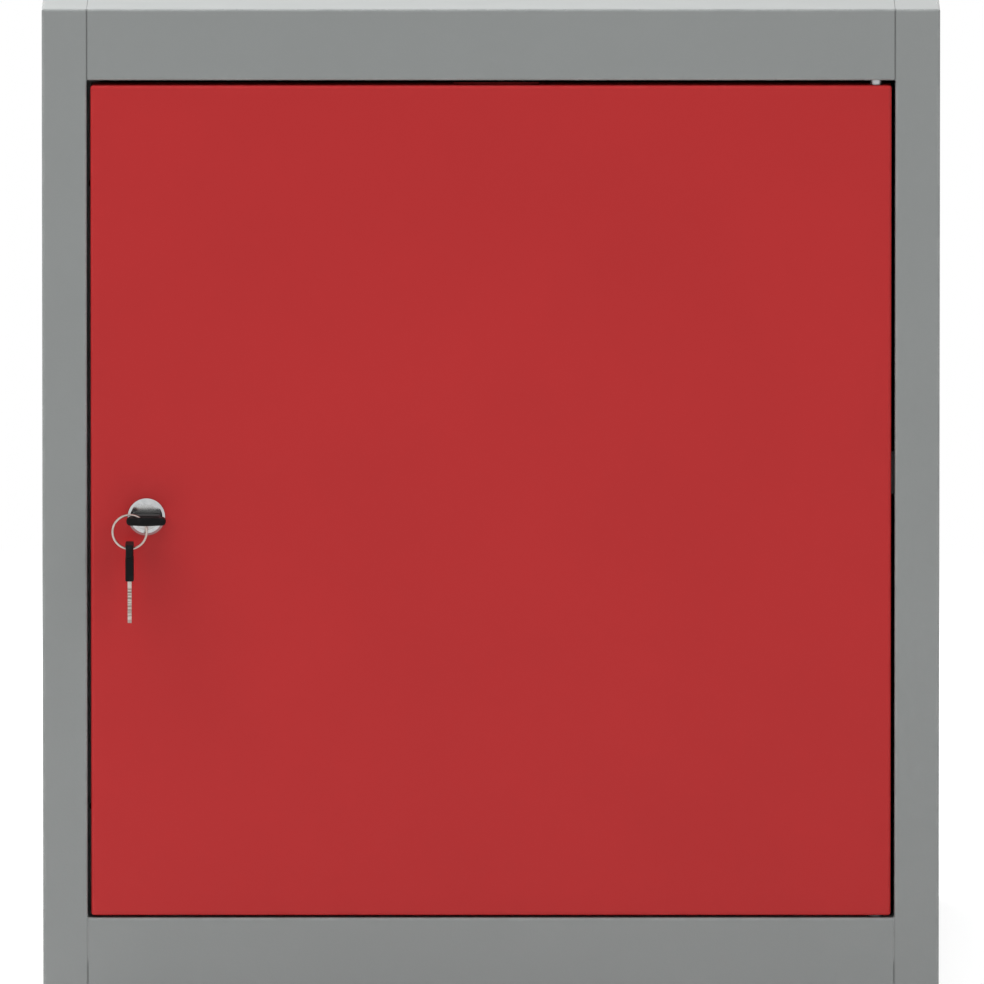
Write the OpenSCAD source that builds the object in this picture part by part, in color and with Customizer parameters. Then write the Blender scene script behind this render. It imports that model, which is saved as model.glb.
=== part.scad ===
// Workshop tool cabinet: folded sheet-steel carcass, one lockable pan door on pivot pins,
// one adjustable shelf, and a cam lock with its two keys on a ring.
// Millimetres, +Z up, +Y towards the back. The door is on the -Y side.

/* [Carcass] */
// Width over the side panels
cabinet_w = 500; // [400:10:800]
// Depth from the front face to the back face
cabinet_d = 500; // [350:10:700]
// Height of the carcass without its feet
cabinet_h = 550; // [450:10:900]
// Thickness of the sheet steel
sheet = 1; // [0.8:0.1:1.2]
// Outside radius of the folds in the carcass
fold_r = 1.5; // [1.4:0.1:2.2]
// Width of each side stile, seen from the front
stile_w = 25; // [22:1:40]
// Height of the top rail, seen from the front
top_rail_h = 40; // [30:1:60]
// Height of the bottom rail, seen from the front
bottom_rail_h = 40; // [30:1:60]
// Depth of the returns behind the stiles and the rails
return_d = 23; // [22.8:0.1:28]
// Width of the stop lip on the lock side
stop_lip_w = 8; // [7:0.5:10]
// Width of the flanges around the back
rear_flange_w = 25; // [20:1:40]
// Width of the sunk ledges that carry the edges of the top panel
ledge_w = 12; // [8:1:20]
// Height of the stiffening flanges under the floor
floor_flange_h = 20; // [12:1:25]
// Width of the seams between the carcass panels
seam = 0.2; // [0.1:0.05:0.4]
// Diameter of the wall fixing holes
wall_hole_d = 9; // [6:0.5:12]
// Distance between the wall fixing holes, across
wall_hole_w = 350; // [200:10:360]
// Distance between the wall fixing holes, in height
wall_hole_h = 400; // [250:10:410]

/* [Door] */
// Gap at each side of the door
side_gap = 2; // [1.8:0.1:3]
// Gap above the door
top_gap = 2.8; // [2.4:0.1:4]
// Gap below the door
bottom_gap = 1.2; // [1:0.1:2]
// Depth of the door pan
door_d = 20; // [18:0.5:20.2]
// Outside radius of the folds in the door
door_fold_r = 2; // [1.8:0.1:2.4]
// Width of the lips behind the door
door_lip_w = 12; // [8:1:16]
// Width of the upright channel behind the door
channel_w = 50; // [30:1:70]
// Place of the channel, to the right of the door's middle
channel_x = 3; // [-30:1:60]
// Width of the channel's glued lips
channel_lip_w = 10; // [6:1:14]
// Distance from the door's edge to the hinge axis
hinge_in = 8.5; // [8:0.1:9]
// Distance from the door's face to the hinge axis
hinge_back = 7; // [6.6:0.1:7.1]
// Diameter of the hinge pins
hinge_pin_d = 6; // [5:0.5:6]
// Diameter of the collar on the upper hinge pin
hinge_collar_d = 7; // [6.8:0.1:9]
// Length of the hinge pins inside the door
hinge_pin_l = 12; // [8:1:20]
// Diameter of the rubber buffers on the stop lip
buffer_d = 5.5; // [4:0.5:5.5]

/* [Lock] */
// Distance from the door's edge to the lock axis
lock_in = 31; // [29:0.5:40]
// Distance of the lock below the middle of the opening
lock_down = 9.5; // [0:0.5:40]
// Diameter of the lock's head
lock_head_d = 20.8; // [20:0.1:24]
// Height of the lock's head over the door
lock_head_h = 3; // [2:0.1:5]
// Diameter of the threaded barrel
barrel_d = 18; // [17:0.1:18.5]
// Distance across the flats of the barrel
barrel_flats = 16; // [15:0.1:16.5]
// Diameter of the turning plug
plug_d = 12; // [11.5:0.1:12.5]
// Distance from the lock axis to the cam's tip
cam_reach = 30; // [28:0.5:31]
// Width of the cam
cam_w = 16; // [12:0.5:18]
// Thickness of the cam
cam_t = 2; // [1.5:0.1:3]

/* [Keys] */
// Width of the bar across the outer end of the key's bow
bow_w = 22; // [20:0.1:24]
// Width of the key's bow beside the bar
bow_body_w = 16.8; // [15:0.1:18]
// Width of the key's bow beside the blade
bow_neck_w = 14; // [12:0.1:15]
// Length of the key's bow
bow_l = 20.7; // [19:0.1:24]
// Thickness of the key's bow at its middle
bow_t = 4.8; // [4.7:0.1:5.4]
// Thickness of the key's bow at its edges
bow_edge_t = 4.2; // [3.6:0.1:4.4]
// Length of the key's blade outside the bow
blade_l = 23.9; // [20:0.1:25]
// Width of the key's blade
blade_w = 7.8; // [6:0.1:8]
// Thickness of the key's blade
blade_t = 2.2; // [1.8:0.1:2.4]
// Outside diameter of the key ring
ring_d = 20.2; // [20:0.1:24]
// Diameter of the ring's wire
wire_d = 1.2; // [1:0.1:1.4]

/* [Shelf and feet] */
// Height of the feet
foot_h = 15; // [10:1:30]
// Diameter of the feet
foot_d = 24; // [20:1:25]
// Distance from the front and the back to the middle of the feet
foot_in = 42; // [38:1:80]
// Distance between the slots in the uprights
slot_pitch = 25; // [20:1:40]
// Number of the slot that carries the shelf
shelf_slot = 9; // [2:1:12]
// Depth of the uprights, from the side panel
upright_d = 10; // [8:0.5:14]
// Width of the slotted face of the uprights
upright_w = 20; // [18:1:30]
// Height of the shelf's edges
shelf_h = 25; // [20:1:40]

/* [Hidden] */
$fn = 48;

grey_paint = [0.54, 0.55, 0.55];
red_paint = [0.69, 0.2, 0.2];
zinc = [0.75, 0.76, 0.77];
nickel = [0.8, 0.79, 0.77];
chrome = [0.85, 0.86, 0.87];
black_plastic = [0.1, 0.1, 0.1];
black_nylon = [0.08, 0.08, 0.08];
black_rubber = [0.13, 0.13, 0.13];

// Clearances: of parts that slide or turn past each other, of a shaft in its bore,
// and of a fixed piece in its hole.
free_gap = 0.3;
running_gap = 0.05;
hole_gap = 0.1;
overrun = 1;

// Main planes. The front of the closed door is flush with the front of the carcass, at y = 0
// in these modules; in_place() then moves every piece so that the origin is under the middle.
side_x = cabinet_w / 2;
inner_x = side_x - sheet;
opening_x = side_x - stile_w;
base_z = foot_h;
top_z = foot_h + cabinet_h;
floor_z = base_z + bottom_rail_h;
rail_z = top_z - top_rail_h;
back_y = cabinet_d - sheet;
wall_y = back_y - sheet;
edge_r = fold_r - sheet;

door_x = opening_x - side_gap;
door_z0 = floor_z + bottom_gap;
door_z1 = rail_z - top_gap;
hinge_x = door_x - hinge_in;
lock_x = -door_x + lock_in;
lock_z = (floor_z + rail_z) / 2 - lock_down;

// The bow starts just in front of the lock's head, and its slot takes the ring.
bow_gap = 1;
end_web = 2.2;
side_web = 3.6;
slot_l = 5;
slot_step = 0.35;
bow_y = -lock_head_h - bow_gap;
slot_half = bow_w / 2 - side_web;
web_x = bow_w / 2 - side_web / 2;
ring_y = bow_y - bow_l + end_web + slot_l / 2;
ring_r = ring_d / 2 - wire_d / 2;
ring_in_r = ring_r - wire_d / 2;
web_reach = max(norm([side_web / 2, bow_edge_t / 2 - slot_step]),
                norm([side_web / 2 - slot_step, bow_edge_t / 2]));
ring_drop = ring_in_r - web_reach - 0.2;
ring_x = lock_x - web_x;
ring_z = lock_z - ring_drop;
// The spare key's end web lies inside the ring, just above the wire.
spare_top = sqrt(pow(ring_in_r - 0.1, 2) - pow(bow_edge_t / 2, 2)) - end_web;

key_out = bow_w / 2 - ring_y;
mid_y = (cabinet_d - key_out) / 2;

module in_place() {
    translate([0, -mid_y, 0]) children();
}

module block(low, high) {
    translate(low) cube(high - low);
}

module mirrored(side) {
    if (side < 0) mirror([1, 0, 0]) children();
    else children();
}

// A cylinder along +Y, which starts at a point.
module rod_y(start, d, l) {
    translate(start) rotate([-90, 0, 0]) cylinder(d = d, h = l);
}

module rod_z(start, d, l) {
    translate(start) cylinder(d = d, h = l);
}

// A nut whose corners are bevelled at both ends.
module hex_nut(across, h, bore) {
    face_r = 0.475 * across;
    outside_r = 0.6 * across;
    bevel = (outside_r - face_r) * tan(30);
    difference() {
        intersection() {
            cylinder(d = across / cos(30), h = h, $fn = 6);
            rotate_extrude() polygon([[0, 0], [face_r, 0], [outside_r, bevel], [outside_r, h - bevel],
                                      [face_r, h], [0, h]]);
        }
        translate([0, 0, -overrun]) cylinder(d = bore, h = h + 2 * overrun);
    }
}

// A wedge of a circle between two angles, which are less than 180 degrees apart.
module sector(from, to, r) {
    polygon([[0, 0], for (i = [0 : 2]) let (a = from + i * (to - from) / 2) 3 * r * [cos(a), sin(a)]]);
}

// ---- folded sheet ----

function unit(v) = v / norm(v);

// The section of a sheet folded at right angles along the middle line pts.
module sheet_path(pts, t, r) {
    mid_r = r - t / 2;
    last = len(pts) - 1;
    for (i = [0 : last - 1]) {
        d = unit(pts[i + 1] - pts[i]);
        a = pts[i] + d * (i == 0 ? 0 : mid_r);
        b = pts[i + 1] - d * (i == last - 1 ? 0 : mid_r);
        low = [min(a.x, b.x), min(a.y, b.y)];
        high = [max(a.x, b.x), max(a.y, b.y)];
        side = [abs(d.y), abs(d.x)] * t / 2;
        translate(low - side) square(high - low + 2 * side);
    }
    for (i = [1 : last - 1]) {
        d0 = unit(pts[i] - pts[i - 1]);
        d1 = unit(pts[i + 1] - pts[i]);
        quarter = d0 - d1;
        translate(pts[i] - d0 * mid_r + d1 * mid_r) intersection() {
            difference() {
                circle(r = r);
                circle(r = r - t);
            }
            translate([min(0, quarter.x), min(0, quarter.y)] * r) square(r);
        }
    }
}

module rounded_rect(size, r) {
    translate([r, 0]) square([size.x - 2 * r, size.y]);
    translate([0, r]) square([size.x, size.y - 2 * r]);
    for (x = [r, size.x - r]) for (y = [r, size.y - r]) translate([x, y]) circle(r = r);
}

// A block whose twelve edges are rounded.
module rounded_block(low, high, r) {
    size = high - low;
    translate(low) intersection() {
        linear_extrude(height = size.z) rounded_rect([size.x, size.y], r);
        translate([0, size.y, 0]) rotate([90, 0, 0])
            linear_extrude(height = size.y) rounded_rect([size.x, size.z], r);
        rotate([90, 0, 90]) linear_extrude(height = size.x) rounded_rect([size.y, size.z], r);
    }
}

// A closed box of sheet, to be cut open into a pan.
module sheet_box(low, high, t, r) {
    difference() {
        rounded_block(low, high, r);
        rounded_block(low + [t, t, t], high - [t, t, t], r - t);
    }
}

// The slit where two folded lips meet at a corner. It runs along +X from the inner corner
// and ends before the folds.
module mitre_slit(lip, r) {
    slit = 0.4;
    translate([-overrun, -slit / 2, 0])
        cube([overrun + (lip - r - slit) * sqrt(2), slit, sheet + 2 * overrun]);
}

// Runs a section that is drawn in Y and Z along X.
module along_x(x0, x1) {
    translate([x0, 0, 0]) rotate([90, 0, 90]) linear_extrude(height = x1 - x0) children();
}

// ---- carcass ----

foot_x = side_x - foot_d / 2 - 1;
foot_stud_d = 8;
foot_nut_h = 6.5;
tip_bevel = 0.8;

// Both side panels are pans of one sheet: the web, the stile with its return behind it, and
// flanges at the top, the bottom and the back. They end at a seam beside the rails.
module side_panel(stop_lip) {
    lip = stop_lip ? stop_lip_w : sheet;
    difference() {
        union() {
            intersection() {
                sheet_box([-side_x, 0, base_z], [side_x, cabinet_d, top_z], sheet, fold_r);
                block([opening_x, -overrun, base_z - overrun],
                      [side_x + overrun, cabinet_d + overrun, top_z + overrun]);
            }
            stile_return(base_z, floor_z);
            stile_return(rail_z, top_z);
            top_ledge();
        }
        block([opening_x - overrun, -overrun, floor_z], [opening_x + fold_r, sheet + overrun, rail_z]);
        for (y = [foot_in, cabinet_d - foot_in])
            rod_z([foot_x, y, base_z - overrun], foot_stud_d + 2 * hole_gap, sheet + 2 * overrun);
    }
    folded_stile(lip);
}

// Behind a rail the return meets the stile at a square, dressed corner.
module stile_return(z0, z1) {
    block([opening_x, sheet / 2, z0 + sheet / 2], [opening_x + sheet, return_d, z1 - sheet / 2]);
}

// Beside the opening the stile is folded back, and on the lock side in again as a stop.
module folded_stile(lip) {
    mid = sheet / 2;
    path = [[opening_x + 2 * fold_r, mid], [opening_x + mid, mid], [opening_x + mid, return_d - mid],
            [opening_x + sheet - lip, return_d - mid]];
    translate([0, 0, floor_z]) linear_extrude(height = rail_z - floor_z)
        sheet_path(lip > sheet ? path : [path[0], path[1], [opening_x + mid, return_d]], sheet, fold_r);
}

// The ledge that the top panel lies on, one sheet lower than the top.
module top_ledge() {
    z = top_z - 2 * sheet;
    block([opening_x - ledge_w, fold_r + seam, z], [opening_x + sheet, wall_y - seam, z + sheet]);
    block([opening_x, sheet / 2, z], [opening_x + sheet, wall_y - seam, top_z - sheet / 2]);
}

module side_panel_left() {
    color(grey_paint) in_place() mirror([1, 0, 0]) side_panel(true);
}

module side_panel_right() {
    color(grey_paint) in_place() side_panel(false);
}

rail_lip_h = 12;

// Top, front rail and rear flange are one sheet with five folds.
module top_panel() {
    mid = sheet / 2;
    end = opening_x - seam;
    color(grey_paint) in_place() difference() {
        along_x(-end, end)
            sheet_path([[return_d - mid, rail_z + rail_lip_h], [return_d - mid, rail_z + mid],
                        [mid, rail_z + mid], [mid, top_z - mid], [back_y + mid, top_z - mid],
                        [back_y + mid, top_z - rear_flange_w]], sheet, fold_r);
        rod_z([hinge_x, hinge_back, rail_z - overrun], hinge_pin_d + 2 * hole_gap, sheet + 2 * overrun);
    }
}

// The floor is a wide pan behind the stile returns, and runs forward between them into the rail.
module bottom_panel() {
    mid = sheet / 2;
    end = opening_x - seam;
    wide = inner_x - seam;
    start = return_d + seam;
    color(grey_paint) in_place() difference() {
        union() {
            along_x(-end, end)
                sheet_path([[return_d - mid, base_z + rail_lip_h], [return_d - mid, base_z + mid],
                            [mid, base_z + mid], [mid, floor_z - mid], [start + sheet, floor_z - mid]],
                           sheet, fold_r);
            difference() {
                sheet_box([-wide, 0, floor_z - 2 * floor_flange_h], [wide, wall_y, floor_z],
                          sheet, fold_r);
                block([-side_x, -overrun, 0], [side_x, start, top_z]);
                block([-side_x, -overrun, 0], [side_x, cabinet_d, floor_z - floor_flange_h]);
            }
        }
        rod_z([hinge_x, hinge_back, floor_z - sheet - overrun], hinge_pin_d + 2 * hole_gap,
              sheet + 2 * overrun);
    }
}

// A flat sheet inside the rear flanges, with four holes for screws into a wall.
module back_panel() {
    end = side_x - fold_r;
    mid_z = (floor_z + top_z) / 2;
    color(grey_paint) in_place() difference() {
        block([-end, wall_y, base_z + fold_r], [end, back_y, top_z - fold_r]);
        for (x = [-1, 1]) for (z = [-1, 1])
            rod_y([x * wall_hole_w / 2, wall_y - overrun, mid_z + z * wall_hole_h / 2],
                  wall_hole_d, sheet + 2 * overrun);
    }
}

// ---- shelf ----

upright_in = 46;
upright_foot_w = 8;
crown_x = inner_x - upright_d;
slot_w = 12;
slot_h = 3.6;
upright_h = top_z - fold_r - floor_z;
slot_count = floor((upright_h - slot_h) / slot_pitch);
carrying_z = floor_z + slot_pitch * shelf_slot;
clip_t = 1.5;
clip_w = 10;
clip_l = 14;
clip_rise = 8;
shelf_z = carrying_z + clip_rise;

function upright_y(back) = back ? wall_y - upright_in : upright_in;

// A hat section with a row of slots, which stands on the floor against the side panel.
module upright(side, back) {
    mid = sheet / 2;
    half = upright_w / 2;
    foot_end = half + upright_foot_w;
    color(grey_paint) in_place() mirrored(side) translate([0, upright_y(back), floor_z]) difference() {
        linear_extrude(height = upright_h)
            sheet_path([[inner_x - mid, -foot_end], [inner_x - mid, -half + mid],
                        [crown_x + mid, -half + mid], [crown_x + mid, half - mid],
                        [inner_x - mid, half - mid], [inner_x - mid, foot_end]], sheet, fold_r);
        for (i = [1 : slot_count])
            block([crown_x - overrun, -slot_w / 2, i * slot_pitch],
                  [crown_x + 2 * sheet, slot_w / 2, i * slot_pitch + slot_h]);
    }
}

// A bent clip: its tongue carries the shelf, and its hook goes through a slot and down behind it.
module clip(side, back) {
    mid = clip_t / 2;
    hook_z = (slot_h - clip_t) / 2;
    color(zinc) in_place() mirrored(side) translate([0, upright_y(back), carrying_z]) {
        translate([0, clip_w / 2, 0]) rotate([90, 0, 0]) linear_extrude(height = clip_w)
            sheet_path([[crown_x - clip_l, clip_rise - mid], [crown_x - mid, clip_rise - mid],
                        [crown_x - mid, -clip_rise]], clip_t, clip_t + edge_r);
        block([crown_x - mid, -clip_w / 2, hook_z],
              [crown_x + sheet + hole_gap + clip_t, clip_w / 2, hook_z + clip_t]);
        block([crown_x + sheet + hole_gap, -clip_w / 2, hook_z - clip_rise / 2],
              [crown_x + sheet + hole_gap + clip_t, clip_w / 2, hook_z + clip_t]);
    }
}

// The shelf is a pan turned upside down, with lips folded in all around its lower edge.
module shelf() {
    end = crown_x - clip_t - 1;
    lip = 14;
    front_gap = 14;
    rear_gap = 4;
    front = return_d + front_gap;
    rear = wall_y - rear_gap;
    color(grey_paint) in_place() difference() {
        sheet_box([-end, front, shelf_z], [end, rear, shelf_z + shelf_h], sheet, fold_r);
        block([-end + lip, front + lip, shelf_z - overrun], [end - lip, rear - lip, shelf_z + 2 * sheet]);
        for (x = [-1, 1]) for (y = [-1, 1])
            translate([x * (end - lip), y > 0 ? rear - lip : front + lip, shelf_z - overrun])
                rotate(atan2(y, x)) mitre_slit(lip, fold_r);
    }
}

module upright_front_left() { upright(-1, false); }
module upright_front_right() { upright(1, false); }
module upright_rear_left() { upright(-1, true); }
module upright_rear_right() { upright(1, true); }
module clip_front_left() { clip(-1, false); }
module clip_front_right() { clip(1, false); }
module clip_rear_left() { clip(-1, true); }
module clip_rear_right() { clip(1, true); }

// ---- feet ----

function foot_y(back) = back ? cabinet_d - foot_in : foot_in;

// A moulded glide on a stud, screwed up through the bottom flange.
module foot(side, back) {
    r = foot_d / 2;
    neck_r = 0.75 * r;
    edge = 1.5;
    stud_r = foot_stud_d / 2;
    tip = foot_h + sheet + foot_nut_h + 2;
    color(black_plastic) in_place() translate([side * foot_x, foot_y(back), 0])
        rotate_extrude() polygon([[0, 0], [r - edge, 0], [r, edge], [r, foot_h / 2],
                                  [neck_r, foot_h - edge], [neck_r, foot_h], [stud_r, foot_h],
                                  [stud_r, tip - tip_bevel], [stud_r - tip_bevel, tip], [0, tip]]);
}

module foot_nuts() {
    color(zinc) in_place() for (side = [-1, 1]) for (back = [false, true])
        translate([side * foot_x, foot_y(back), base_z + sheet])
            hex_nut(13, foot_nut_h, foot_stud_d + 2 * hole_gap);
}

module foot_front_left() { foot(-1, false); }
module foot_front_right() { foot(1, false); }
module foot_rear_left() { foot(-1, true); }
module foot_rear_right() { foot(1, true); }

// ---- hinge ----

bush_d = hinge_pin_d + 2;
bush_collar_d = hinge_pin_d + 3.6;
bush_collar_t = bottom_gap - 0.2;
plate_t = 2;
plate_w = 34;
plate_leg = 26;
pin_nut_h = 5;

module at_hinge(z) {
    translate([hinge_x, hinge_back, z]) children();
}

// The upper pin hangs from the rail by its nut. Its collar stands in the gap over the door.
module hinge_pin_top() {
    r = hinge_pin_d / 2;
    collar_r = hinge_collar_d / 2;
    collar_z = door_z1 + free_gap;
    low = door_z1 - hinge_pin_l;
    high = rail_z + sheet + pin_nut_h + 2;
    color(zinc) in_place() at_hinge(0)
        rotate_extrude() polygon([[0, low], [r - tip_bevel, low], [r, low + tip_bevel], [r, collar_z],
                                  [collar_r, collar_z], [collar_r, rail_z], [r, rail_z],
                                  [r, high - tip_bevel], [r - tip_bevel, high], [0, high]]);
}

module hinge_nut() {
    color(zinc) in_place() at_hinge(rail_z + sheet) hex_nut(10, pin_nut_h, hinge_pin_d + 2 * hole_gap);
}

// The lower pin comes up through the floor, with its head under it.
module hinge_pin_bottom() {
    r = hinge_pin_d / 2;
    head_t = 2;
    head_r = bush_collar_d / 2;
    low = floor_z - sheet - head_t;
    high = door_z0 + hinge_pin_l;
    color(zinc) in_place() at_hinge(0)
        rotate_extrude() polygon([[0, low], [head_r, low], [head_r, low + head_t], [r, low + head_t],
                                  [r, high - tip_bevel], [r - tip_bevel, high], [0, high]]);
}

// A bent plate in each corner of the door stiffens the flange around the bush.
module hinge_plate(z, up) {
    mid = plate_t / 2;
    color(red_paint) in_place() difference() {
        translate([0, door_d - door_fold_r, z]) mirror([0, 0, up ? 0 : 1]) rotate([90, 0, 0])
            linear_extrude(height = door_d - 2 * door_fold_r)
                sheet_path([[door_x - plate_w, mid], [door_x - sheet - mid, mid],
                            [door_x - sheet - mid, plate_leg]], plate_t, plate_t + edge_r);
        at_hinge(z) cylinder(d = bush_d + 2 * hole_gap, h = 3 * plate_t, center = true);
    }
}

module hinge_plate_top() { hinge_plate(door_z1 - sheet, false); }
module hinge_plate_bottom() { hinge_plate(door_z0 + sheet, true); }

// The bush is a tube with a collar at its lower end.
module hinge_bush(low, high, collar_z) {
    color(black_nylon) in_place() at_hinge(0) difference() {
        union() {
            rod_z([0, 0, low], bush_d, high - low);
            rod_z([0, 0, collar_z], bush_collar_d, bush_collar_t);
        }
        rod_z([0, 0, low - overrun], hinge_pin_d + 2 * running_gap, high - low + 2 * overrun);
    }
}

module hinge_bush_top() {
    collar_z = door_z1 - sheet - plate_t - bush_collar_t;
    hinge_bush(collar_z, door_z1, collar_z);
}

module hinge_bush_bottom() {
    collar_z = door_z0 - bush_collar_t;
    hinge_bush(collar_z, door_z0 + sheet + plate_t, collar_z);
}

// ---- door ----

channel_back = door_d - sheet - free_gap;
cam_y = return_d + free_gap;
barrel_l = cam_y - 1;

// Two rubber pads on the stop lip take the door's rear edge.
module door_buffers() {
    inset = 60;
    front = door_d + free_gap;
    x = opening_x - (stop_lip_w - sheet) / 2;
    color(black_rubber) in_place() for (z = [floor_z + inset, rail_z - inset])
        rod_y([-x, front, z], buffer_d, return_d - sheet - front);
}

module door_panel() {
    color(red_paint) in_place() difference() {
        sheet_box([-door_x, 0, door_z0], [door_x, door_d, door_z1], sheet, door_fold_r);
        block([-door_x + door_lip_w, door_d - sheet - overrun, door_z0 + door_lip_w],
              [door_x - door_lip_w, door_d + overrun, door_z1 - door_lip_w]);
        block([channel_x - channel_w / 2 - hole_gap, door_fold_r, door_z1 - sheet - overrun],
              [channel_x + channel_w / 2 + hole_gap, channel_back + hole_gap, door_z1 + overrun]);
        for (z = [door_z0, door_z1])
            at_hinge(z) cylinder(d = bush_d + 2 * hole_gap, h = 4 * sheet, center = true);
        for (x = [-1, 1]) for (up = [-1, 1])
            translate([x * (door_x - door_lip_w), door_d + overrun,
                       up > 0 ? door_z1 - door_lip_w : door_z0 + door_lip_w])
                rotate([90, 0, 0]) rotate(atan2(up, x)) mitre_slit(door_lip_w, door_fold_r);
        lock_hole();
    }
}

// The hole for the lock has two flats, which keep the barrel from turning.
module lock_hole() {
    translate([lock_x, sheet + overrun, lock_z]) rotate([90, 0, 0])
        linear_extrude(height = sheet + 2 * overrun) barrel_section(2 * hole_gap);
}

module barrel_section(extra) {
    intersection() {
        circle(d = barrel_d + extra);
        square([barrel_d + 1, barrel_flats + extra], center = true);
    }
}

// A channel from top to bottom, glued to the skin by its lips. Its upper end comes up
// through the top flange.
module door_channel() {
    mid = sheet / 2;
    half = channel_w / 2;
    color(red_paint) in_place() difference() {
        translate([channel_x, 0, door_z0 + door_fold_r])
            linear_extrude(height = door_z1 - door_z0 - door_fold_r - hole_gap)
                sheet_path([[-half + channel_lip_w, sheet + mid], [-half + mid, sheet + mid],
                            [-half + mid, channel_back - mid], [half - mid, channel_back - mid],
                            [half - mid, sheet + mid], [half - channel_lip_w, sheet + mid]],
                           sheet, fold_r);
        block([channel_x - channel_w, 0, door_z1 - door_fold_r],
              [channel_x + channel_w, door_fold_r + hole_gap, door_z1 + overrun]);
    }
}

// ---- lock ----
// These pieces are drawn with their axis along Z, the front of the lock up.

collar_h = 1.2;
plug_collar_d = plug_d + 2;
tenon_w = 7;
nut_flats = 22;
keyway_gap = 0.15;
washer_d = 13;
washer_t = 1;
screw_d = 4;

// Behind the blade's tip the keyway ends, and behind a thin wall begins the hole for the screw.
keyway_z = -(bow_y + blade_l + 0.2);
screw_hole_z = keyway_z - 0.8;
cam_back_z = -cam_y - cam_t;

// The plug's fin turns by 90 degrees between the ends of the lug at the rear of the barrel.
fin_r = barrel_flats / 2 - hole_gap;
fin_half_angle = 20;
fin_play = 2;
lug_h = 0.7;
lug_in_r = plug_d / 2 + free_gap;

module at_lock() {
    in_place() translate([lock_x, 0, lock_z]) rotate([90, 0, 0]) children();
}

// The housing: a bevelled head outside the door and a barrel with two flats behind it.
module lock_body() {
    r = lock_head_d / 2;
    bore_r = plug_d / 2 + running_gap;
    recess_r = plug_collar_d / 2 + running_gap;
    recess_h = collar_h + hole_gap;
    bevel = 1.4;
    color(chrome) at_lock() {
        rotate_extrude() polygon([[bore_r, 0], [r, 0], [r, lock_head_h - bevel], [r - bevel, lock_head_h],
                                  [recess_r, lock_head_h], [recess_r, lock_head_h - recess_h],
                                  [bore_r, lock_head_h - recess_h]]);
        translate([0, 0, -barrel_l]) linear_extrude(height = barrel_l) difference() {
            barrel_section(0);
            circle(r = bore_r);
        }
        translate([0, 0, -barrel_l - lug_h]) linear_extrude(height = 2 * lug_h) difference() {
            barrel_section(0);
            circle(r = lug_in_r);
            sector(-fin_half_angle - fin_play, 90 + fin_half_angle + fin_play, barrel_d / 2);
        }
    }
}

module lock_nut() {
    h = 5;
    color(zinc) at_lock() translate([0, 0, -sheet - h]) hex_nut(nut_flats, h, barrel_d + 2 * hole_gap);
}

// The plug, which the key turns: collar, shank with its fin, a square tenon for the cam, and
// the keyway.
module lock_plug() {
    front_z = lock_head_h - hole_gap;
    fin_h = cam_y - barrel_l - hole_gap;
    color(nickel) at_lock() difference() {
        union() {
            rod_z([0, 0, front_z - collar_h], plug_collar_d, collar_h);
            rod_z([0, 0, -cam_y], plug_d, cam_y + front_z);
            translate([0, 0, -cam_y]) linear_extrude(height = fin_h) intersection() {
                circle(r = fin_r);
                sector(-fin_half_angle, fin_half_angle, fin_r);
            }
            translate([-tenon_w / 2, -tenon_w / 2, cam_back_z + hole_gap])
                cube([tenon_w, tenon_w, cam_t]);
        }
        block([-blade_w / 2 - keyway_gap, -blade_t / 2 - keyway_gap, keyway_z],
              [blade_w / 2 + keyway_gap, blade_t / 2 + keyway_gap, lock_head_h + overrun]);
        rod_z([0, 0, cam_back_z - overrun], screw_d + 2 * hole_gap, screw_hole_z - cam_back_z + overrun);
    }
}

// The cam points up while the door is unlocked, and swings behind the stop lip to lock it.
module lock_cam() {
    tip_r = 0.36 * cam_w;
    color(zinc) at_lock() translate([0, 0, cam_back_z]) linear_extrude(height = cam_t) difference() {
        union() {
            circle(d = cam_w);
            polygon([[-cam_w / 2, 0], [cam_w / 2, 0],
                     [tip_r, cam_reach - tip_r], [-tip_r, cam_reach - tip_r]]);
            translate([0, cam_reach - tip_r]) circle(r = tip_r);
        }
        square(tenon_w + 2 * hole_gap, center = true);
    }
}

module cam_washer() {
    color(zinc) at_lock() translate([0, 0, cam_back_z - washer_t]) difference() {
        cylinder(d = washer_d, h = washer_t);
        rod_z([0, 0, -overrun], screw_d + 2 * hole_gap, washer_t + 2 * overrun);
    }
}

module cam_screw() {
    head_h = 2.5;
    head_edge = 0.6;
    recess_w = 0.8;
    seat_z = cam_back_z - washer_t;
    back_z = seat_z - head_h;
    tip_z = screw_hole_z - 0.4;
    color(zinc) at_lock() difference() {
        rotate_extrude() polygon([[0, back_z], [screw_d - head_edge, back_z],
                                  [screw_d, back_z + head_edge], [screw_d, seat_z],
                                  [screw_d / 2, seat_z], [screw_d / 2, tip_z], [0, tip_z]]);
        for (turn = [0, 90]) rotate(turn)
            block([-screw_d / 2, -recess_w / 2, back_z - overrun],
                  [screw_d / 2, recess_w / 2, back_z + head_h / 2]);
    }
}

// ---- keys ----
// A key is drawn with its blade along +Y from the origin and its bow along -Y.

tang_l = 11;
tang_w = 7;

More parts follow.
